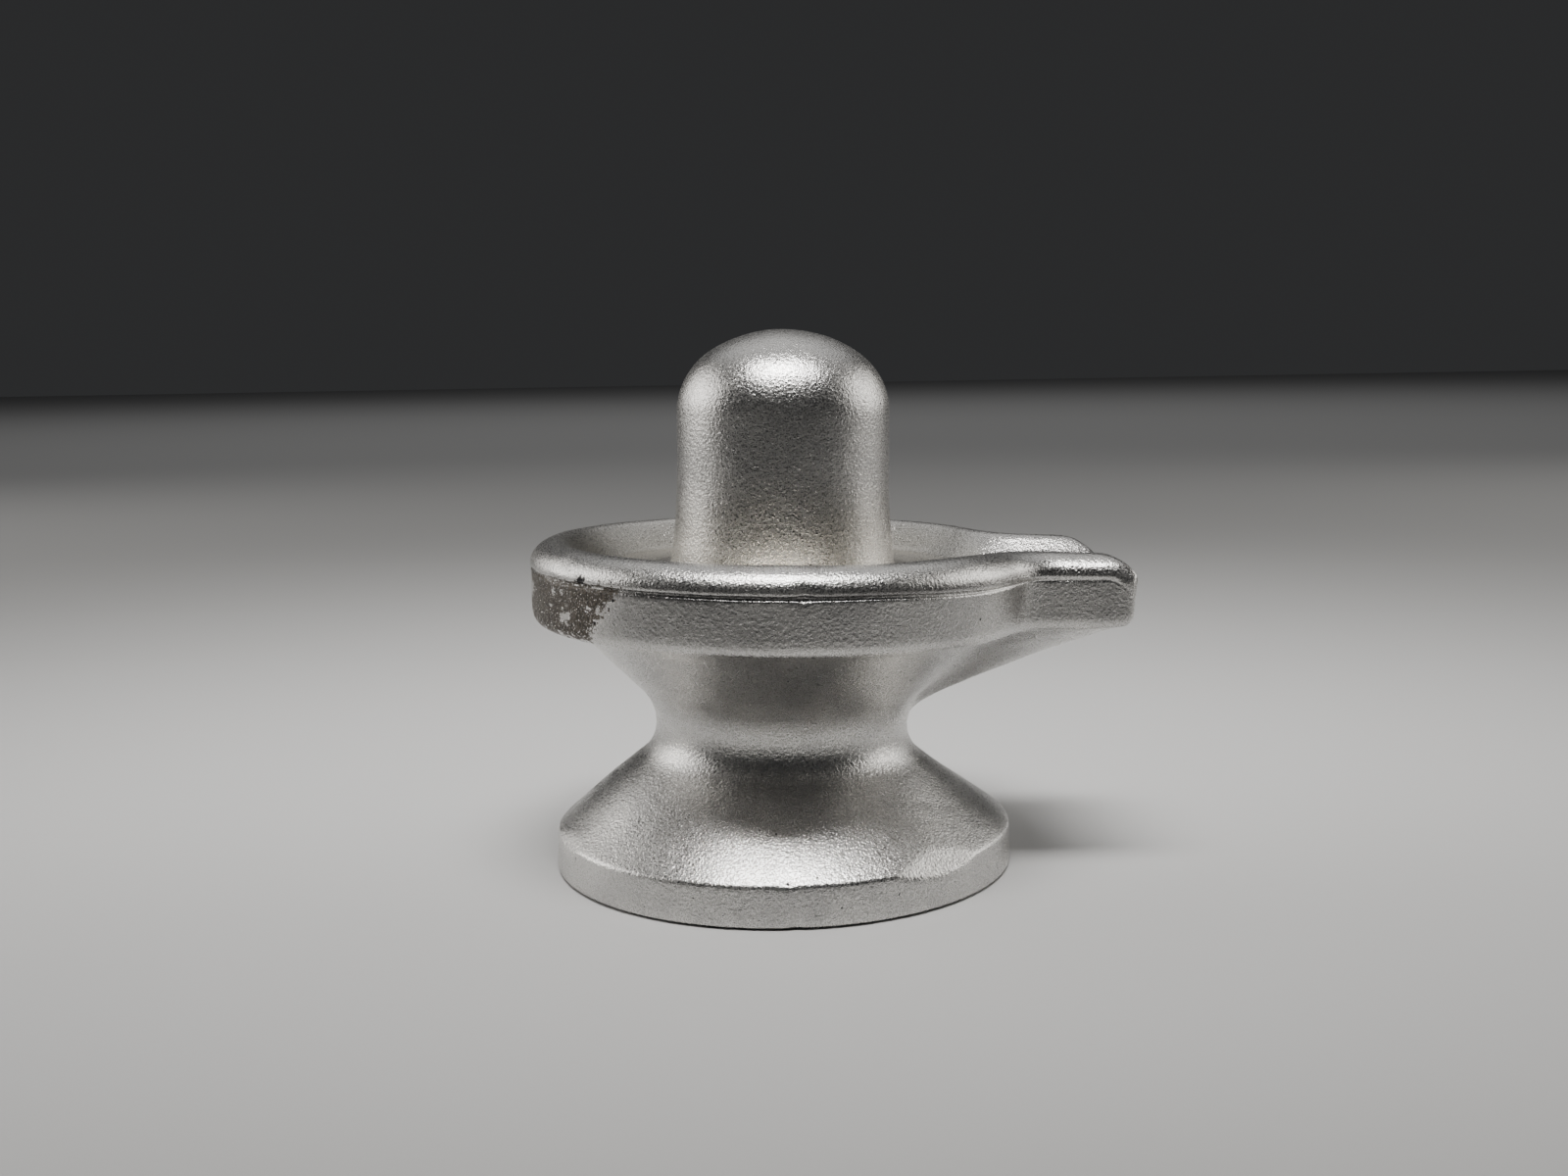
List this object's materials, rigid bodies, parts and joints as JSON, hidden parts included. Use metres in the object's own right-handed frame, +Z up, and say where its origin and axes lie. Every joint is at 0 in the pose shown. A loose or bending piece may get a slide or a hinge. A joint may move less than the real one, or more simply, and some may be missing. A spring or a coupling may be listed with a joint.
{
  "type": "shiva lingam",
  "caption": "Small cast-metal shiva lingam: a domed shaft standing in a round, rimmed yoni tray with a straight pouring spout, on a waisted round foot.",
  "frame": {"origin": "middle of the foot's flat underside", "axes": "+Z up, +X from the shaft towards the spout's end, +Y across, to the back as the picture sees it"},
  "size_m": [0.0531, 0.0452, 0.0481],
  "materials": {
    "cast_silver": "satin, sand-cast grain"
  },
  "bodies": {
    "root": {"shiva_lingam": "cast_silver"}
  },
  "joints": []
}
